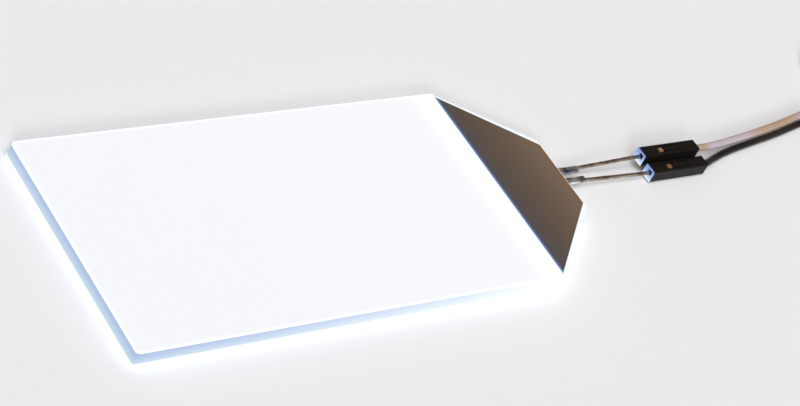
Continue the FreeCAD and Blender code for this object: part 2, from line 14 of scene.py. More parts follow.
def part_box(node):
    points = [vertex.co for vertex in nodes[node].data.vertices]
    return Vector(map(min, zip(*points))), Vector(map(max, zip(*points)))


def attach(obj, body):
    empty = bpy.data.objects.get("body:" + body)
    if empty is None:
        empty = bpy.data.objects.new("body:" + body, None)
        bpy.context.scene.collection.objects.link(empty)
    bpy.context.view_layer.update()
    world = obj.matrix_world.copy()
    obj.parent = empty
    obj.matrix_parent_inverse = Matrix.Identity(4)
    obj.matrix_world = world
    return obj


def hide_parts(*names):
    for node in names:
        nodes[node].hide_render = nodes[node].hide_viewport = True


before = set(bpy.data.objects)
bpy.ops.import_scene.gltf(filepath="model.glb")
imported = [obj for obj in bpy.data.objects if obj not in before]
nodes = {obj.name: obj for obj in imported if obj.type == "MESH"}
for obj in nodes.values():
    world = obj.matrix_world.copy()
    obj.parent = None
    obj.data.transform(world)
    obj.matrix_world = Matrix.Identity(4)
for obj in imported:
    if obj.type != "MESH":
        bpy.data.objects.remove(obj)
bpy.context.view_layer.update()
MM = 0.001

# %% [markdown]
# ## Where things are
# A size that the frame can give isn't typed in again. The corners of a CAD piece give
# the places that the materials need, such as where the lit rectangle ends and where the
# taper ends.

# %% Read the places from the frame
face_low, face_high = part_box("diffuser_film")
film_low, film_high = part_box("taper_mirror")
guide_low, guide_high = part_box("light_guide")
lip_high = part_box("back_reflector")[1].z
print("lit rectangle:", [round(v / MM, 1) for v in (face_high - face_low)])
print("taper ends at:", round(guide_high.x / MM, 2))

# %% [markdown]
# ## The camera
# A long lens far from a small thing keeps its edges nearly parallel. The camera looks
# down at the panel from the corner opposite the leads, and it is rolled about its own
# axis, so the panel climbs from left to right. `to_track_quat` aims the lens, and one
# more turn about the camera's own Z rolls it.

# %% Aim and roll the camera
CAMERA_AT = Vector((-235.27, -206.81, 257.38)) * MM
LENS_DIRECTION = Vector((0.61633, 0.49508, -0.61247))
CAMERA_ROLL = math.radians(28.886)
LENS_MM = 110.84
SENSOR_MM = 36.0
NEAREST, FURTHEST = 0.01, 10.0


def add_camera():
    data = bpy.data.cameras.new("camera")
    data.sensor_width = SENSOR_MM
    data.sensor_fit = "HORIZONTAL"
    data.lens = LENS_MM
    data.clip_start = NEAREST
    data.clip_end = FURTHEST
    camera = bpy.data.objects.new("camera", data)
    bpy.context.scene.collection.objects.link(camera)
    aim = LENS_DIRECTION.to_track_quat("-Z", "Y")
    camera.rotation_mode = "QUATERNION"
    camera.rotation_quaternion = aim @ Quaternion((0, 0, 1), CAMERA_ROLL)
    camera.location = CAMERA_AT
    bpy.context.scene.camera = camera
    return camera


camera = add_camera()
print("camera at", [round(v, 3) for v in camera.location])

# %% [markdown]
# ## The jumper wires
# Each wire is one soft, round cord. It could be a mesh tube, but a NURBS curve with a
# bevel stays smooth with few points and is easy to steer. The points are the route that
# the CAD tubes follow, typed in again because the frame holds only meshes: millimetres
# past the socket's rear face, millimetres across, and height in layers of wire. Out of
# sight the wire is wound into a neat coil, and a loop works out those points.

# %% Heights and lengths of a wire
WIRE = 1.4 * MM
CORE_LENGTH = 2.8 * MM
EXIT_STRAIGHT = 1.0 * MM
FLOOR_GAP = 0.02 * MM
LAYER = WIRE + 0.05 * MM
COIL_WIDE = 15.4 * MM
COIL_TURNS = 2
POINTS_PER_TURN = 16
ON_AXIS = "on axis"

ROUTES = {
    "grey": {
        "route": [
            (5.0, 1.8, 1.3),
            (10.0, 2.5, 1.09),
            (18.2, 3.65, 1.05),
            (27.2, 5.1, 1.05),
            (36.5, 7.15, 1.04),
            (43.5, 8.35, 0.7),
            (49.5, 8.75, 0.14),
            (55.5, 8.6, 0.0),
        ],
        "coil_side": 1,
        "tail": [
            (62.0, 8.7, 1.9),
            (68.5, 9.6, 1.05),
            (74.5, 10.4, ON_AXIS),
        ],
        "length": 0.178,
    },
    "black": {
        "route": [
            (4.4, -0.1, 0.12),
            (9.6, 1.45, 0.02),
            (17.6, 2.75, 0.0),
            (27.0, 4.25, 0.0),
            (36.5, 6.4, 0.0),
            (42.8, 5.7, 0.0),
            (48.4, 4.5, 0.0),
            (54.0, 4.0, 0.0),
        ],
        "coil_side": -1,
        "tail": [
            (60.5, 3.95, 1.9),
            (67.0, 3.0, 1.05),
            (73.0, 2.2, ON_AXIS),
        ],
        "length": 0.177,
    },
}


def socket_exit(colour):
    """The middle of the front housing's rear face."""
    low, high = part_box(colour + "_front_housing")
    return Vector((high.x, (low.y + high.y) / 2, (low.z + high.z) / 2))


def layer_high(layers):
    if layers == ON_AXIS:
        low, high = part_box("grey_end_housing")
        return (low.z + high.z) / 2
    return FLOOR_GAP + WIRE / 2 + layers * LAYER


def route_point(colour, place):
    past, across, layers = place
    return Vector((socket_exit(colour).x + past * MM, across * MM, layer_high(layers)))


for colour in ROUTES:
    print(colour, "wire leaves its socket at", [round(v / MM, 2) for v in socket_exit(colour)])

# %% [markdown]
# A wound coil can't pass through itself. Each lap lies flat for most of its way and then
# climbs one layer, over its own start. The points stand a little outside the coil's
# middle line, because a smooth curve cuts inside its control points.

# %% Wind the coil
CLIMB_FROM = 0.7


def lap_height(turns):
    """Layers above the floor: each lap lies flat and climbs over its own start."""
    whole = math.floor(turns)
    share = max(0.0, (turns - whole - CLIMB_FROM) / (1 - CLIMB_FROM))
    return whole + share * share * (3 - 2 * share)


def coil_points(start, side):
    half_step = math.pi / POINTS_PER_TURN
    radius = COIL_WIDE / 2 / math.cos(half_step)
    middle = start + Vector((0, side * COIL_WIDE / 2, 0))
    points = []
    for step in range(1, COIL_TURNS * POINTS_PER_TURN):
        turns = step / POINTS_PER_TURN
        angle = 2 * math.pi * turns
        points.append(middle + Vector((
            radius * math.sin(angle),
            -side * radius * math.cos(angle),
            lap_height(turns) * LAYER,
        )))
    return points


def wire_points(colour):
    plan = ROUTES[colour]
    leaving = socket_exit(colour)
    along = Vector((1, 0, 0))
    coil_start = route_point(colour, plan["route"][-1])
    past, across, _ = plan["route"][-1]
    coil_end = route_point(colour, (past, across, COIL_TURNS))
    tail = [route_point(colour, place) for place in plan["tail"]]
    points = [leaving - along * CORE_LENGTH, leaving + along * EXIT_STRAIGHT]
    points += [route_point(colour, place) for place in plan["route"]]
    points += coil_points(coil_start, plan["coil_side"])
    points += [coil_end] + tail
    points.append(tail[-1] + along * (EXIT_STRAIGHT + CORE_LENGTH))
    return points


print("points on the grey wire:", len(wire_points("grey")))

# %% [markdown]
# One open NURBS curve makes each wire, and its bevel gives it thickness. Blender adds a
# curve's point radius to its bounding box, so each point carries the wire's real radius
# and the bevel depth is 1.

# %% Make the two wires
BEVEL_STEPS = 6
STEPS_PER_POINT = 10


def add_wire(colour):
    data = bpy.data.curves.new(colour + "_jumper_wire", "CURVE")
    data.dimensions = "3D"
    data.bevel_depth = 1.0
    data.bevel_resolution = BEVEL_STEPS
    data.use_fill_caps = True
    data.resolution_u = STEPS_PER_POINT
    spline = data.splines.new("NURBS")
    points = wire_points(colour)
    spline.points.add(len(points) - 1)
    for point, place in zip(spline.points, points):
        point.co = (*place, 1)
        point.radius = WIRE / 2
    spline.order_u = 3
    spline.use_endpoint_u = True
    wire = bpy.data.objects.new(colour + "_jumper_wire", data)
    bpy.context.scene.collection.objects.link(wire)
    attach(wire, colour + "_jumper")
    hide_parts(colour + "_wire", colour + "_wire_coil", colour + "_wire_tail")
    return wire


wires = {colour: add_wire(colour) for colour in ROUTES}
print("wires:", [wire.name for wire in wires.values()])

# %% [markdown]
# ## Light
# A small part on a pale table is lit by large, soft sources. A sun lamp with a wide
# angle does the same as a big soft box, and it lights the whole table evenly. The high
# one gives most of the light. The low one stands behind the camera, so the thin panel
# casts a narrow shadow past its far edge and stands out from the table.

# %% Hang the lights
LIGHTS = {
    # name: (way it shines, width of the source in degrees, strength, colour)
    "high_light": ((0.35, 0.45, -1.0), 50.0, 2.0, (1.0, 0.99, 0.98)),
    "low_light": ((0.55, 0.75, -0.42), 14.0, 1.1, (1.0, 0.98, 0.96)),
}


def add_light(name, way, width, strength, colour):
    data = bpy.data.lights.new(name, "SUN")
    data.angle = math.radians(width)
    data.energy = strength
    data.color = colour
    light = bpy.data.objects.new(name, data)
    light.rotation_mode = "QUATERNION"
    light.rotation_quaternion = Vector(way).to_track_quat("-Z", "Y")
    bpy.context.scene.collection.objects.link(light)


for name, values in LIGHTS.items():
    add_light(name, *values)
print("lights:", sorted(LIGHTS))

# %% [markdown]
# ## Tools for nodes
# Every material here starts from the Principled BSDF. What changes over a surface comes
# from small node groups, built once and placed in each material with its own values.
# These helpers only save typing. A Mix node has a set of sockets for each kind of data,
# all with the same names, so `mix_colours` picks its colour sockets by number.

# %% Node and material helpers
def add_node(tree, kind, inputs=None, **settings):
    node = tree.nodes.new("ShaderNode" + kind)
    for name, value in settings.items():
        setattr(node, name, value)
    for name, value in (inputs or {}).items():
        if isinstance(value, bpy.types.NodeSocket):
            tree.links.new(value, node.inputs[name])
        else:
            node.inputs[name].default_value = value
    return node


MIX_FIRST, MIX_SECOND, MIX_RESULT = 6, 7, 2


def mix_colours(tree, share, first, second, blend="MIX"):
    """One colour from two: each is a colour or a socket, and share runs from 0 to 1."""
    node = add_node(tree, "Mix", {"Factor": share}, data_type="RGBA", blend_type=blend)
    for number, value in ((MIX_FIRST, first), (MIX_SECOND, second)):
        if isinstance(value, bpy.types.NodeSocket):
            tree.links.new(value, node.inputs[number])
        else:
            node.inputs[number].default_value = value
    return node.outputs[MIX_RESULT]


def ramp(tree, share, stops):
    """A colour ramp: stops are (place, colour)."""
    node = add_node(tree, "ValToRGB", {"Fac": share})
    elements = node.color_ramp.elements
    while len(elements) < len(stops):
        elements.new(0.5)
    for element, (place, colour) in zip(elements, stops):
        element.position = place
        element.color = (*colour, 1)
    return node.outputs["Color"]


def maths(tree, operation, first, second=0.0, **settings):
    """One sum of two numbers, each a number or a socket."""
    node = add_node(tree, "Math", {0: first, 1: second}, operation=operation, **settings)
    return node.outputs["Value"]


def new_material(name, **values):
    """A material whose shader has the given constants on its own sockets."""
    material = bpy.data.materials.new(name)
    material.use_nodes = True
    shader = material.node_tree.nodes["Principled BSDF"]
    for socket, value in values.items():
        shader.inputs[socket.replace("_", " ")].default_value = value
    return material, material.node_tree, shader


def new_group(name, inputs, outputs):
    """An empty group: inputs are (name, kind, default) and outputs (name, kind)."""
    group = bpy.data.node_groups.new(name, "ShaderNodeTree")
    for label, kind, default in inputs:
        socket = group.interface.new_socket(
            name=label, in_out="INPUT", socket_type="NodeSocket" + kind)
        socket.default_value = default
    for label, kind in outputs:
        group.interface.new_socket(
            name=label, in_out="OUTPUT", socket_type="NodeSocket" + kind)
    return group, group.nodes.new("NodeGroupInput"), group.nodes.new("NodeGroupOutput")


def place_group(tree, group, **values):
    node = tree.nodes.new("ShaderNodeGroup")
    node.node_tree = group
    for label, value in values.items():
        socket = node.inputs[label.replace("_", " ")]
        if isinstance(value, bpy.types.NodeSocket):
            tree.links.new(value, socket)
        else:
            socket.default_value = value
    return node


def add_bump(tree, shader, height, distance):
    bump = add_node(tree, "Bump", {"Height": height, "Strength": 1.0, "Distance": distance})
    tree.links.new(bump.outputs["Normal"], shader.inputs["Normal"])


def finish_piece(name, material):
    for slot in nodes[name].material_slots:
        slot.material = material


print("helpers ready")

# %% [markdown]
# ## The room
# The room round the table is dim and warm. Metal and film mirror it, and this is what
# gives them their bronze tone. Where the camera looks past the table it sees a pale
# backdrop instead: the Light Path node tells those rays from the mirrored ones.

# %% Colour the room
ROOM_COLOUR = (0.27, 0.225, 0.19, 1)
BACKDROP_COLOUR = (0.86, 0.86, 0.87, 1)


def fill_room():
    world = bpy.data.worlds.new("room")
    bpy.context.scene.world = world
    world.use_nodes = True
    tree = world.node_tree
    path = add_node(tree, "LightPath")
    seen = mix_colours(tree, path.outputs["Is Camera Ray"], ROOM_COLOUR, BACKDROP_COLOUR)
    tree.links.new(seen, tree.nodes["Background"].inputs["Color"])
    bpy.context.scene.view_settings.view_transform = "Standard"


fill_room()
print("room colour", ROOM_COLOUR[:3])

# %% [markdown]
# ## Groups of nodes
# A finish that several materials share is built once as a group, with named sockets.
# `fine_grain` is the skin of a moulded or extruded plastic: a dense noise that mixes two
# tones. An image could do it too, but noise has no seams and no resolution.

# %% Fine grain
def build_fine_grain():
    group, given, made = new_group(
        "fine_grain", [("Scale", "Float", 4000.0), ("Dark", "Color", (0, 0, 0, 1)),
                       ("Light", "Color", (1, 1, 1, 1))],
        [("Color", "Color"), ("Height", "Float")])
    place = add_node(group, "TexCoord").outputs["Object"]
    noise = add_node(group, "TexNoise", {"Vector": place, "Scale": given.outputs["Scale"],
                                         "Detail": 3.0, "Roughness": 0.6})
    tone = mix_colours(group, noise.outputs["Fac"], given.outputs["Dark"],
                       given.outputs["Light"])
    group.links.new(tone, made.inputs["Color"])
    group.links.new(noise.outputs["Fac"], made.inputs["Height"])
    return group


GRAIN = build_fine_grain()
print("group:", GRAIN.name)

# %% [markdown]
# `handling` is the faint cloud of finger marks on a smooth film. It changes how rough
# the surface is, and hardly its height, so it shows only where something is mirrored.

# %% Handling
CLOUD_CLEAN, CLOUD_MARKED = 0.42, 0.72


def build_handling():
    group, given, made = new_group(
        "handling", [("Scale", "Float", 60.0), ("Clean", "Float", 0.1),
                     ("Marked", "Float", 0.3)],
        [("Roughness", "Float"), ("Height", "Float")])
    place = add_node(group, "TexCoord").outputs["Object"]
    cloud = add_node(group, "TexNoise", {"Vector": place, "Scale": given.outputs["Scale"],
                                         "Detail": 5.0, "Roughness": 0.65})
    spread = add_node(group, "MapRange", {
        "Value": cloud.outputs["Fac"], "From Min": CLOUD_CLEAN, "From Max": CLOUD_MARKED,
        "To Min": given.outputs["Clean"], "To Max": given.outputs["Marked"]})
    group.links.new(spread.outputs["Result"], made.inputs["Roughness"])
    group.links.new(cloud.outputs["Fac"], made.inputs["Height"])
    return group


HANDLING = build_handling()
print("group:", HANDLING.name)

# %% [markdown]
# `drawn_metal` is the surface of a stamped and plated strip. Its noise is squeezed across the
# strip, so it turns into long streaks, and a slower noise mixes the bright and dull tones, as
# tarnish and as painted glints on the leads and the gold contacts.

# %% Drawn metal
STREAKS = (220, 5200, 5200)
TARNISH_AND_GLINT_SCALE = 420.0
TARNISH_AND_GLINT_FROM, TARNISH_AND_GLINT_TO = 0.38, 0.62
STREAK_LOW, STREAK_HIGH = 0.35, 0.65


def build_drawn_metal():
    group, given, made = new_group(
        "drawn_metal", [("Bright", "Color", (1, 1, 1, 1)), ("Dull", "Color", (0, 0, 0, 1)),
                        ("Smooth", "Float", 0.2), ("Rough", "Float", 0.45)],
        [("Color", "Color"), ("Roughness", "Float"), ("Height", "Float")])
    place = add_node(group, "TexCoord").outputs["Object"]
    stretched = add_node(group, "Mapping", {"Vector": place, "Scale": STREAKS})
    streaks = add_node(group, "TexNoise", {"Vector": stretched.outputs["Vector"],
                                           "Scale": 1.0, "Detail": 4.0})
    # The slower noise is tarnish and also paints glints: bright patches against dull ones.
    tarnish_and_glint = add_node(group, "TexNoise", {"Vector": place, "Scale": TARNISH_AND_GLINT_SCALE,
                                           "Detail": 3.0})
    worn_and_glinting = add_node(group, "MapRange", {
        "Value": tarnish_and_glint.outputs["Fac"], "From Min": TARNISH_AND_GLINT_FROM, "From Max": TARNISH_AND_GLINT_TO})
    tone = mix_colours(group, worn_and_glinting.outputs["Result"], given.outputs["Bright"],
                       given.outputs["Dull"])
    rough = add_node(group, "MapRange", {
        "Value": streaks.outputs["Fac"], "From Min": STREAK_LOW, "From Max": STREAK_HIGH,
        "To Min": given.outputs["Smooth"], "To Max": given.outputs["Rough"]})
    group.links.new(tone, made.inputs["Color"])
    group.links.new(rough.outputs["Result"], made.inputs["Roughness"])
    group.links.new(streaks.outputs["Fac"], made.inputs["Height"])
    return group


DRAWN = build_drawn_metal()
print("group:", DRAWN.name)

# %% [markdown]
# `along_panel` tells how far along the part a point lies, from 0 to 1, so a glow can
# change on its way from the LED. It reads the point's own place, not the view.

# %% Along the panel
def build_along_panel():
    group, given, made = new_group(
        "along_panel", [("Start", "Float", 0.0), ("End", "Float", 1.0)],
        [("Share", "Float")])
    place = add_node(group, "TexCoord").outputs["Object"]
    parts = add_node(group, "SeparateXYZ", {"Vector": place})
    share = add_node(group, "MapRange", {
        "Value": parts.outputs["X"], "From Min": given.outputs["Start"],
        "From Max": given.outputs["End"]})
    group.links.new(share.outputs["Result"], made.inputs["Share"])
    return group


ALONG = build_along_panel()
print("group:", ALONG.name)

# %% [markdown]
# `border` marks a narrow band round a rectangle, such as the cut edge of the lit film.
# It measures how far inwards a point lies from the nearest side, and fades out there.

# %% Border
FULL_WITHIN = 0.4


def build_border():
    """A mask of a rectangle's edge: 1 on the edge and 0 from Width inwards."""
    group, given, made = new_group(
        "border", [("Middle X", "Float", 0.0), ("Half X", "Float", 1.0),
                   ("Half Y", "Float", 1.0), ("Width", "Float", 0.1)],
        [("Mask", "Float")])
    place = add_node(group, "TexCoord").outputs["Object"]
    parts = add_node(group, "SeparateXYZ", {"Vector": place})
    off_axis = maths(group, "ABSOLUTE", parts.outputs["Y"])
    across = maths(group, "SUBTRACT", given.outputs["Half Y"], off_axis)
    from_middle = maths(group, "SUBTRACT", parts.outputs["X"], given.outputs["Middle X"])
    off_middle = maths(group, "ABSOLUTE", from_middle)
    along = maths(group, "SUBTRACT", given.outputs["Half X"], off_middle)
    mask = add_node(group, "MapRange", {
        "Value": maths(group, "MINIMUM", across, along),
        "From Min": given.outputs["Width"],
        "From Max": maths(group, "MULTIPLY", given.outputs["Width"], FULL_WITHIN)})
    group.links.new(mask.outputs["Result"], made.inputs["Mask"])
    return group


BORDER = build_border()
print("group:", BORDER.name)

# %% [markdown]
# ## Materials
# ### The lit face
# A milky film spreads the light of one LED over the whole rectangle. It shines evenly, a
# little cooler in the middle and whiter beside the taper, where the light is strongest.
# An emission colour that changes along the panel shows this, and a line half a
# millimetre wide round the film's cut edge is whiter still. The film's own colour stays
# dim, because most of the room's light passes into the guide.

# %% Lit face
WHITE_BORDER = 0.45 * MM
BORDER_GLOW = (0.9, 0.9, 0.9, 1)
FINE_BUMP = 0.01 * MM


def make_lit_face():
    material, tree, shader = new_material(
        "lit_diffuser", Emission_Strength=1.0, IOR=1.5)
    share = place_group(tree, ALONG, Start=face_low.x, End=face_high.x).outputs["Share"]
    glow = ramp(tree, share, [
        (0.0, (0.70, 0.735, 0.775)),
        (0.5, (0.72, 0.735, 0.78)),
        (0.93, (0.73, 0.745, 0.785)),
        (0.975, (0.86, 0.86, 0.86)),
    ])
    edges = place_group(tree, BORDER, Middle_X=(face_low.x + face_high.x) / 2,
                        Half_X=(face_high.x - face_low.x) / 2, Half_Y=face_high.y,
                        Width=WHITE_BORDER)
    whiter = mix_colours(tree, edges.outputs["Mask"], glow, BORDER_GLOW)
    tree.links.new(whiter, shader.inputs["Emission Color"])
    grain = place_group(tree, GRAIN, Scale=9000.0, Dark=(0.20, 0.20, 0.21, 1),
                        Light=(0.24, 0.24, 0.25, 1))
    tree.links.new(grain.outputs["Color"], shader.inputs["Base Color"])
    marks = place_group(tree, HANDLING, Scale=45.0, Clean=0.5, Marked=0.6)
    tree.links.new(marks.outputs["Roughness"], shader.inputs["Roughness"])
    add_bump(tree, shader, grain.outputs["Height"], FINE_BUMP)
    return material


lit_face = make_lit_face()
finish_piece("diffuser_film", lit_face)
print("made", lit_face.name)

# %% [markdown]
# ### The light guide
# The acrylic plate is clear, but all that shows of it is its polished edge and a bare
# rim beside the mirror film. Light leaks out there: periwinkle blue under the film,
# paler towards the table, and nearly white close to the LED. So two colours are mixed by
# height, and the result is mixed with white along the panel. The edge is glossy, with
# fine marks from the saw.

# %% Light guide
EDGE_TOP = (0.15, 0.25, 0.49, 1)
EDGE_LOW = (0.32, 0.45, 0.57, 1)
EDGE_AT_LED = (0.80, 0.84, 0.87, 1)
SAW_MARKS = 0.02 * MM


def make_lit_acrylic():
    material, tree, shader = new_material(
        "lit_acrylic", Emission_Strength=1.0, IOR=1.49, Coat_Weight=0.6,
        Coat_Roughness=0.08)
    place = add_node(tree, "TexCoord").outputs["Object"]
    parts = add_node(tree, "SeparateXYZ", {"Vector": place})
    height = add_node(tree, "MapRange", {
        "Value": parts.outputs["Z"], "From Min": lip_high, "From Max": guide_high.z})
    share = place_group(tree, ALONG, Start=guide_low.x, End=guide_high.x).outputs["Share"]
    whiter = ramp(tree, share, [
        (0.0, (0.0, 0.0, 0.0)),
        (0.32, (0.20, 0.20, 0.20)),
        (0.62, (0.48, 0.48, 0.48)),
        (0.75, (0.75, 0.75, 0.75)),
        (0.84, (1.0, 1.0, 1.0)),
    ])
    upright = mix_colours(tree, height.outputs["Result"], EDGE_LOW, EDGE_TOP)
    glow = mix_colours(tree, whiter, upright, EDGE_AT_LED)
    tree.links.new(glow, shader.inputs["Emission Color"])
    grain = place_group(tree, GRAIN, Scale=2500.0, Dark=(0.15, 0.17, 0.19, 1),
                        Light=(0.20, 0.22, 0.24, 1))
    tree.links.new(grain.outputs["Color"], shader.inputs["Base Color"])
    marks = place_group(tree, HANDLING, Scale=300.0, Clean=0.06, Marked=0.2)
    tree.links.new(marks.outputs["Roughness"], shader.inputs["Roughness"])
    add_bump(tree, shader, marks.outputs["Height"], SAW_MARKS)
    return material


lit_acrylic = make_lit_acrylic()
finish_piece("light_guide", lit_acrylic)
print("made", lit_acrylic.name)

# %% [markdown]
# ### The white film
# The reflector under the panel is folded up round three sides, and its lip is lit from
# inside. A lamp behind it could do that, but a faint emission that grows towards the LED
# looks the same and needs no hidden light. The printed dots under the guide are the same
# white.

# %% White reflector and dots
def make_white_film():
    material, tree, shader = new_material(
        "white_reflector", Emission_Strength=1.0, IOR=1.5)
    share = place_group(tree, ALONG, Start=guide_low.x, End=guide_high.x).outputs["Share"]
    glow = ramp(tree, share, [
        (0.0, (0.50, 0.52, 0.55)),
        (0.7, (0.60, 0.61, 0.62)),
    ])
    tree.links.new(glow, shader.inputs["Emission Color"])
    grain = place_group(tree, GRAIN, Scale=6000.0, Dark=(0.55, 0.56, 0.57, 1),
                        Light=(0.62, 0.63, 0.64, 1))
    tree.links.new(grain.outputs["Color"], shader.inputs["Base Color"])
    marks = place_group(tree, HANDLING, Scale=80.0, Clean=0.35, Marked=0.5)
    tree.links.new(marks.outputs["Roughness"], shader.inputs["Roughness"])
    add_bump(tree, shader, grain.outputs["Height"], FINE_BUMP)
    return material


white_film = make_white_film()
for name in ("back_reflector", "extraction_dots"):
    finish_piece(name, white_film)
print("made", white_film.name)

# %% [markdown]
# ### The mirror film
# A metallised film covers the taper and turns the LED's light back into the guide. A perfect
# mirror would show only the bare room, so a ramp along the film paints a reflection into its
# colour, and a satin roughness spreads what it mirrors. Beside the lit rectangle a thin blue
# fringe of light runs along its cut edge, and its other end shows an amber line.

# %% Mirror film
FILM_RIPPLE = 0.03 * MM


def make_mirror_film():
    material, tree, shader = new_material(
        "mirror_film", Metallic=0.9, Emission_Strength=1.0, IOR=1.5)
    share = place_group(tree, ALONG, Start=film_low.x, End=film_high.x).outputs["Share"]
    # The base colour is a painted reflection: bluish beside the lit rectangle, then brown-grey
    # that grows lighter towards the taper's end, where an amber line ends it.
    tone = ramp(tree, share, [
        (0.0, (0.30, 0.36, 0.50)),
        (0.06, (0.27, 0.27, 0.31)),
        (0.25, (0.31, 0.27, 0.245)),
        (0.60, (0.41, 0.33, 0.27)),
        (0.96, (0.55, 0.435, 0.35)),
        (0.985, (0.60, 0.33, 0.13)),
    ])
    tree.links.new(tone, shader.inputs["Base Color"])
    leak = ramp(tree, share, [
        (0.0, (0.14, 0.33, 0.72)),
        (0.014, (0.06, 0.15, 0.36)),
        (0.035, (0.0, 0.0, 0.0)),
    ])
    tree.links.new(leak, shader.inputs["Emission Color"])
    marks = place_group(tree, HANDLING, Scale=90.0, Clean=0.16, Marked=0.26)
    tree.links.new(marks.outputs["Roughness"], shader.inputs["Roughness"])
    add_bump(tree, shader, marks.outputs["Height"], FILM_RIPPLE)
    return material


mirror_film = make_mirror_film()
finish_piece("taper_mirror", mirror_film)
print("made", mirror_film.name)

# %% [markdown]
# ### The LED
# The LED sits in its pocket under the mirror film, and only its rear end can be seen.
# It is a clear epoxy block round a cup of yellow phosphor. Epoxy could be full glass, but
# with a little less transmission some of its own colour shows.

# %% LED pieces
CHIP_BUMP = 0.002 * MM


def make_clear_epoxy(name, tint):
    material, tree, shader = new_material(
        name, Transmission_Weight=0.85, IOR=1.52, Metallic=0.0)
    marks = place_group(tree, HANDLING, Scale=500.0, Clean=0.05, Marked=0.2)
    tree.links.new(marks.outputs["Roughness"], shader.inputs["Roughness"])
    grain = place_group(tree, GRAIN, Scale=1500.0, Dark=tint, Light=(1, 1, 1, 1))
    tree.links.new(grain.outputs["Color"], shader.inputs["Base Color"])
    return material


def make_grainy(name, dark, light, roughness, scale, bump):
    """A plain cast or cut finish with a fine grain."""
    material, tree, shader = new_material(name, Metallic=0.0, Roughness=roughness)
    grain = place_group(tree, GRAIN, Scale=scale, Dark=(*dark, 1), Light=(*light, 1))
    tree.links.new(grain.outputs["Color"], shader.inputs["Base Color"])
    add_bump(tree, shader, grain.outputs["Height"], bump)
    return material


clear_epoxy = make_clear_epoxy("clear_epoxy", (0.92, 0.95, 1.0, 1))
clear_glue = make_clear_epoxy("clear_glue", (0.88, 0.90, 0.92, 1))
phosphor = make_grainy("phosphor", (0.75, 0.60, 0.08), (0.9, 0.78, 0.2), 0.6, 9000.0,
                       FINE_BUMP)
chip = make_grainy("led_chip", (0.10, 0.12, 0.25), (0.16, 0.2, 0.36), 0.2, 20000.0,
                   CHIP_BUMP)
finish_piece("led_body", clear_epoxy)
finish_piece("led_adhesive", clear_glue)
finish_piece("led_phosphor", phosphor)
finish_piece("led_die", chip)
print("made", [m.name for m in (clear_epoxy, clear_glue, phosphor, chip)])

# %% [markdown]
# ### Leads, contacts and strands
# The leads are stamped from a strip and tinned. At the shoulders their colour is painted with
# bright glints against dark navy, a painted reflection of the panel's light, and further out
# it is a warm, streaked bronze. Two materials would meet in a hard line, so one material
# changes its tones where a shoulder ends. The contacts carry a thin flash of gold, with
# painted glints.

# %% Metal pieces
DRAWN_LINES = 0.008 * MM
SHOULDER_LONG = 5.6 * MM
BEFORE_IT_ENDS = 1.5 * MM
PAST_ITS_END = 1.0 * MM


def make_metal(name, bright, dull, smooth, rough):
    material, tree, shader = new_material(name, Metallic=1.0)
    drawn = place_group(tree, DRAWN, Bright=(*bright, 1), Dull=(*dull, 1), Smooth=smooth,
                        Rough=rough)
    tree.links.new(drawn.outputs["Color"], shader.inputs["Base Color"])
    tree.links.new(drawn.outputs["Roughness"], shader.inputs["Roughness"])
    add_bump(tree, shader, drawn.outputs["Height"], DRAWN_LINES)
    return material


def make_tinned_lead():
    material, tree, shader = new_material("tinned_lead", Metallic=1.0)
    shoulder_end = guide_high.x + SHOULDER_LONG
    share = place_group(tree, ALONG, Start=shoulder_end - BEFORE_IT_ENDS,
                        End=shoulder_end + PAST_ITS_END).outputs["Share"]
    # At the shoulder the bright tone is white and the dull one dark navy: painted glints and a
    # painted reflection of the panel's blue light; further out both turn bronze.
    bright = ramp(tree, share, [(0.0, (1.0, 1.0, 1.0)), (1.0, (0.50, 0.40, 0.32))])
    dull = ramp(tree, share, [(0.0, (0.10, 0.14, 0.22)), (1.0, (0.20, 0.15, 0.12))])
    drawn = place_group(tree, DRAWN, Bright=bright, Dull=dull, Smooth=0.18, Rough=0.42)
    tree.links.new(drawn.outputs["Color"], shader.inputs["Base Color"])
    tree.links.new(drawn.outputs["Roughness"], shader.inputs["Roughness"])
    add_bump(tree, shader, drawn.outputs["Height"], DRAWN_LINES)
    return material


tinned_lead = make_tinned_lead()
# The gold's bright and dull tones, mixed by the slower noise, make painted glints in the
# contact windows as well as tarnish.
gold_flash = make_metal("gold_flash", (1.0, 0.74, 0.42), (0.60, 0.34, 0.14), 0.15, 0.35)
bare_copper = make_metal("bare_copper", (0.85, 0.50, 0.34), (0.65, 0.34, 0.2), 0.25, 0.5)
for name in ("cathode_lead", "anode_lead"):
    finish_piece(name, tinned_lead)
finish_piece("led_bond_wire", gold_flash)
for colour in ROUTES:
    for end in ("front", "end"):
        finish_piece("%s_%s_contact" % (colour, end), gold_flash)
        finish_piece("%s_%s_core" % (colour, end), bare_copper)
print("made", [m.name for m in (tinned_lead, gold_flash, bare_copper)])

# %% [markdown]
# ### Socket housings
# Black moulded nylon with a satin skin. The mouth of each front socket faces the panel's
# bright end, and both the mouth and the table before it catch that blue-white light. So
# the group `caught_light` glows only on faces that look back at the panel, near the
# mouth, and it glows more at the bottom, where the table adds its share.

# %% Caught light
NO_LIGHT = (0, 0, 0, 1)
TURNED_AWAY, TURNED_TO_PANEL = -0.3, -0.7


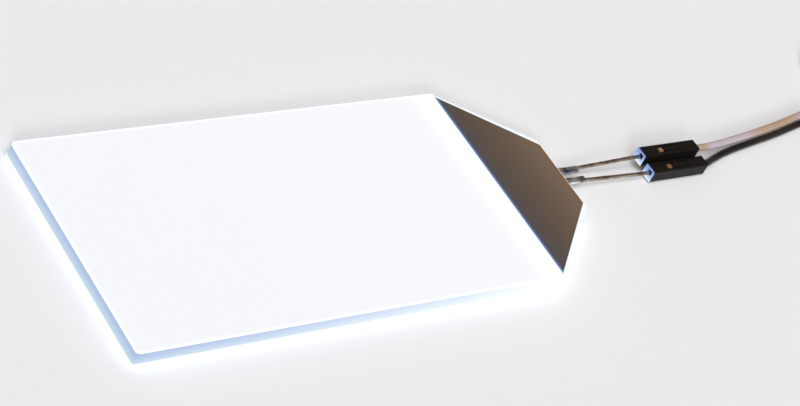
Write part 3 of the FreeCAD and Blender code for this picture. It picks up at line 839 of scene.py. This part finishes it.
def build_caught_light():
    group, given, made = new_group(
        "caught_light", [("Mouth", "Float", 0.0), ("Reach", "Float", 0.001),
                         ("Low", "Float", 0.0), ("High", "Float", 1.0)],
        [("Color", "Color")])
    place = add_node(group, "TexCoord").outputs["Object"]
    parts = add_node(group, "SeparateXYZ", {"Vector": place})
    deep = maths(group, "SUBTRACT", parts.outputs["X"], given.outputs["Mouth"])
    near = add_node(group, "MapRange", {
        "Value": deep, "From Min": given.outputs["Reach"], "From Max": 0.0})
    normal = add_node(group, "NewGeometry").outputs["Normal"]
    facing = add_node(group, "SeparateXYZ", {"Vector": normal})
    towards = add_node(group, "MapRange", {
        "Value": facing.outputs["X"], "From Min": TURNED_AWAY, "From Max": TURNED_TO_PANEL})
    height = add_node(group, "MapRange", {
        "Value": parts.outputs["Z"], "From Min": given.outputs["Low"],
        "From Max": given.outputs["High"]})
    tone = ramp(group, height.outputs["Result"], [
        (0.05, (0.80, 0.90, 1.0)),
        (0.40, (0.42, 0.56, 0.90)),
        (0.95, (0.20, 0.30, 0.66)),
    ])
    both = maths(group, "MULTIPLY", near.outputs["Result"], towards.outputs["Result"])
    caught = mix_colours(group, both, NO_LIGHT, tone)
    group.links.new(caught, made.inputs["Color"])
    return group


CAUGHT = build_caught_light()
print("group:", CAUGHT.name)

# %% [markdown]
# The nylon itself is nearly black, with a fine moulded grain and a low gloss. The two
# front sockets add the caught light, each measured from its own mouth, and the two end
# sockets stay plain.

# %% Housings
MOUTH_DEPTH = 1.2 * MM


def make_black_nylon(name):
    material, tree, shader = new_material(name, Specular_IOR_Level=0.1)
    grain = place_group(tree, GRAIN, Scale=5000.0, Dark=(0.005, 0.0045, 0.004, 1),
                        Light=(0.011, 0.010, 0.009, 1))
    tree.links.new(grain.outputs["Color"], shader.inputs["Base Color"])
    marks = place_group(tree, HANDLING, Scale=500.0, Clean=0.30, Marked=0.5)
    tree.links.new(marks.outputs["Roughness"], shader.inputs["Roughness"])
    add_bump(tree, shader, grain.outputs["Height"], FINE_BUMP)
    return material, tree, shader


def make_lit_mouth(colour):
    """The nylon of a front socket, with the light that its mouth catches."""
    material, tree, shader = make_black_nylon(colour + "_socket_nylon")
    low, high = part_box(colour + "_front_housing")
    caught = place_group(tree, CAUGHT, Mouth=low.x, Reach=MOUTH_DEPTH, Low=low.z, High=high.z)
    tree.links.new(caught.outputs["Color"], shader.inputs["Emission Color"])
    shader.inputs["Emission Strength"].default_value = 1.0
    return material


end_nylon = make_black_nylon("black_nylon")[0]
for colour in ROUTES:
    finish_piece(colour + "_front_housing", make_lit_mouth(colour))
    finish_piece(colour + "_end_housing", end_nylon)
print("housings done, mouths glow for", MOUTH_DEPTH / MM, "mm")

# %% [markdown]
# ### Wire insulation
# Soft PVC, extruded over the strands, with a satin gloss. One wire is a pale lilac grey, and
# its colour paints the warm room's reflection as tan in places: where it leaves the socket,
# and again further on. The other is black, with a painted brown reflection in the same places.
# A list of stops says how much painted reflection the first stretch of wire shows, slow
# patches shift that a little, and a fine grain lies over it all.

# %% Insulation
PATCH_SCALE = 70.0
PAINTED_REFLECTION_STRETCH = 35 * MM
# (place along the stretch, how much painted reflection the wire shows there)
PAINTED_REFLECTION_STOPS = [(0.0, 1.0), (0.07, 1.0), (0.14, 0.1), (0.45, 0.12), (0.56, 0.9), (0.86, 0.9),
        (0.97, 0.2)]
PATCH_LOW, PATCH_HIGH = 0.35, 0.65
DRIFT = 0.15


def make_insulation(name, painted_reflection_tone, own_tone, clean, marked, gloss):
    material, tree, shader = new_material(name, Specular_IOR_Level=gloss)
    start = socket_exit("grey").x
    share = place_group(tree, ALONG, Start=start, End=start + PAINTED_REFLECTION_STRETCH).outputs["Share"]
    # The ramp paints the warm room's reflection along the wire.
    painted_reflection_share = ramp(tree, share, [(place, (reflection_share, reflection_share, reflection_share)) for place, reflection_share in PAINTED_REFLECTION_STOPS])
    patches = place_group(tree, GRAIN, Scale=PATCH_SCALE)
    drift = add_node(tree, "MapRange", {
        "Value": patches.outputs["Height"], "From Min": PATCH_LOW, "From Max": PATCH_HIGH,
        "To Min": -DRIFT, "To Max": DRIFT})
    reflection_share = maths(tree, "ADD", painted_reflection_share, drift.outputs["Result"], use_clamp=True)
    tone = mix_colours(tree, reflection_share, (*own_tone, 1), (*painted_reflection_tone, 1))
    grain = place_group(tree, GRAIN, Scale=1800.0, Dark=(0.80, 0.80, 0.80, 1),
                        Light=(1.0, 1.0, 1.0, 1))
    grained = mix_colours(tree, 1.0, tone, grain.outputs["Color"], blend="MULTIPLY")
    tree.links.new(grained, shader.inputs["Base Color"])
    marks = place_group(tree, HANDLING, Scale=350.0, Clean=clean, Marked=marked)
    tree.links.new(marks.outputs["Roughness"], shader.inputs["Roughness"])
    add_bump(tree, shader, grain.outputs["Height"], FINE_BUMP)
    return material


# Tan and brown are the painted reflection of the warm room; lilac grey and black are the
# wires' own colours.
GREY_PAINTED_REFLECTION = (0.50, 0.36, 0.25)
GREY_OWN = (0.56, 0.51, 0.59)
BLACK_PAINTED_REFLECTION = (0.026, 0.018, 0.014)
BLACK_OWN = (0.008, 0.007, 0.006)
INSULATION = {
    "grey": make_insulation("grey_pvc", GREY_PAINTED_REFLECTION, GREY_OWN, 0.15, 0.3, 0.6),
    "black": make_insulation("black_pvc", BLACK_PAINTED_REFLECTION, BLACK_OWN, 0.25, 0.45, 0.25),
}
for colour, wire in wires.items():
    wire.data.materials.append(INSULATION[colour])
print("made", [m.name for m in INSULATION.values()])

# %% [markdown]
# ## The table
# A plain, pale, slightly uneven sheet, far wider than the part. One face is enough for it. It
# isn't part of the object.

# %% Floor
FLOOR_SIDE = 4.0
FLOOR_DROP = 0.05 * MM


def add_floor():
    mesh = bpy.data.meshes.new("table")
    half = FLOOR_SIDE / 2
    corners = [(-half, -half, 0), (half, -half, 0), (half, half, 0), (-half, half, 0)]
    mesh.from_pydata(corners, [], [(0, 1, 2, 3)])
    table = bpy.data.objects.new("table", mesh)
    table.location.z = -FLOOR_DROP
    bpy.context.scene.collection.objects.link(table)
    material, tree, shader = new_material("white_table", Roughness=0.7)
    grain = place_group(tree, GRAIN, Scale=700.0, Dark=(0.875, 0.915, 0.965, 1),
                        Light=(0.895, 0.935, 0.985, 1))
    tree.links.new(grain.outputs["Color"], shader.inputs["Base Color"])
    mesh.materials.append(material)


add_floor()
print("floor", FLOOR_SIDE, "m across")

# %% [markdown]
# ## The end
# The box of everything that shows has to stay inside the CAD box.


print("scene built")
